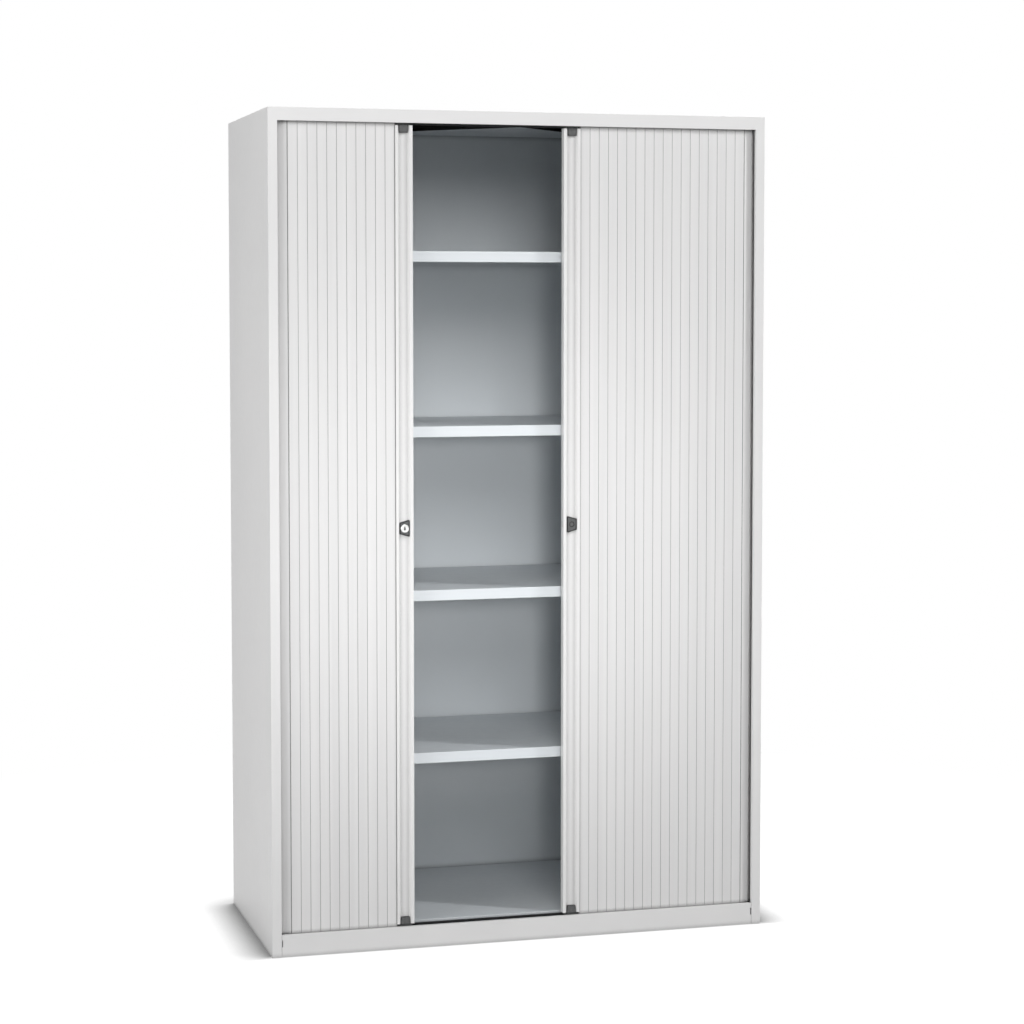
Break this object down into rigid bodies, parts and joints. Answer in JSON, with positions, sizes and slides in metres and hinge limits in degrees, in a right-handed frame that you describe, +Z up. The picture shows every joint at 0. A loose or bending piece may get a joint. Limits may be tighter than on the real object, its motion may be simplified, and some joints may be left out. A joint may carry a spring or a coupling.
{
  "type": "roll front tool cabinet",
  "caption": "Tall steel cabinet with sideways roller shutter doors of vertical slats, adjustable tray shelves, plinth and a central lock.",
  "frame": {"origin": "on the floor under the middle of the cabinet", "axes": "+X to the right seen from the front, +Y to the back, +Z up; the doors face -Y"},
  "size_m": [1.2, 0.55, 1.95],
  "materials": {
    "light_grey_steel": "light grey powder coat, satin, fine orange peel",
    "curtain_plastic": "light grey extruded plastic, satin",
    "lead_aluminium": "light grey coated extrusion, satin",
    "dark_plastic": "dark grey moulded plastic",
    "chrome": "bright nickel plate",
    "zinc_steel": "zinc plated"
  },
  "bodies": {
    "cabinet": {"front_frame": "light_grey_steel", "left_side_panel": "light_grey_steel", "right_side_panel": "light_grey_steel", "top_panel": "light_grey_steel", "ceiling_panel": "light_grey_steel", "back_panel": "light_grey_steel", "base_panel": "light_grey_steel", "front_plinth": "light_grey_steel", "floor_tray": "light_grey_steel", "left_liner": "light_grey_steel", "right_liner": "light_grey_steel", "shelf_uprights": "light_grey_steel", "shelf_clips": "zinc_steel", "base_gussets": "light_grey_steel", "levellers": "zinc_steel", "lower_left_track": "dark_plastic", "lower_right_track": "dark_plastic", "upper_left_track": "dark_plastic", "upper_right_track": "dark_plastic", "shelf_1": "light_grey_steel", "shelf_2": "light_grey_steel", "shelf_3": "light_grey_steel", "shelf_4": "light_grey_steel", "left_corner_slats": "curtain_plastic", "right_corner_slats": "curtain_plastic"},
    "left_door": {"left_lead_profile": "lead_aluminium", "left_lower_shoe": "dark_plastic", "left_upper_shoe": "dark_plastic", "left_front_slats": "curtain_plastic", "lock_housing": "dark_plastic", "lock_case": "zinc_steel"},
    "left_turning_curtain": {"left_turning_slats": "curtain_plastic"},
    "right_door": {"right_lead_profile": "lead_aluminium", "right_lower_shoe": "dark_plastic", "right_upper_shoe": "dark_plastic", "right_front_slats": "curtain_plastic", "strike_housing": "dark_plastic"},
    "right_turning_curtain": {"right_turning_slats": "curtain_plastic"},
    "right_curtain_tail": {"right_tail_slat": "curtain_plastic"},
    "lock_cylinder": {"lock_cylinder": "chrome"},
    "lock_bolt": {"lock_bolt": "zinc_steel"}
  },
  "joints": [
    {"name": "left_door_slide", "type": "slide", "parent": "cabinet", "child": "left_door", "axis": [1, 0, 0], "range_m": [0, 0.2718], "deforming": ["left_corner_slats"]},
    {"name": "left_curtain_turn", "type": "hinge", "parent": "cabinet", "child": "left_turning_curtain", "pos_m": [-0.40794, -0.08294, 0.986], "axis": [0, 0, 1], "range_deg": [0, 90], "deforming": ["left_turning_slats"]},
    {"name": "right_door_slide", "type": "slide", "parent": "cabinet", "child": "right_door", "axis": [-1, 0, 0], "range_m": [0, 0.0906], "deforming": ["right_corner_slats"]},
    {"name": "right_curtain_turn", "type": "hinge", "parent": "cabinet", "child": "right_turning_curtain", "pos_m": [0.49854, -0.17354, 0.986], "axis": [0, 0, -1], "range_deg": [0, 90], "deforming": ["right_turning_slats"]},
    {"name": "right_tail_slide", "type": "slide", "parent": "cabinet", "child": "right_curtain_tail", "axis": [0, -1, 0], "range_m": [0, 0.0906]},
    {"name": "lock_turn", "type": "hinge", "parent": "left_door", "child": "lock_cylinder", "pos_m": [-0.2825, -0.26, 0.986], "axis": [0, 1, 0], "range_deg": [0, 90]},
    {"name": "bolt_slide", "type": "slide", "parent": "left_door", "child": "lock_bolt", "axis": [1, 0, 0], "range_m": [0, 0.009]}
  ],
  "couplings": [
    {"joint": "left_curtain_turn", "follows": "left_door_slide", "rad_per_m": 5.7792},
    {"joint": "right_curtain_turn", "follows": "right_door_slide", "rad_per_m": 17.338},
    {"joint": "right_tail_slide", "follows": "right_door_slide", "ratio": 1},
    {"joint": "bolt_slide", "follows": "lock_turn", "m_per_rad": 0.005729}
  ]
}
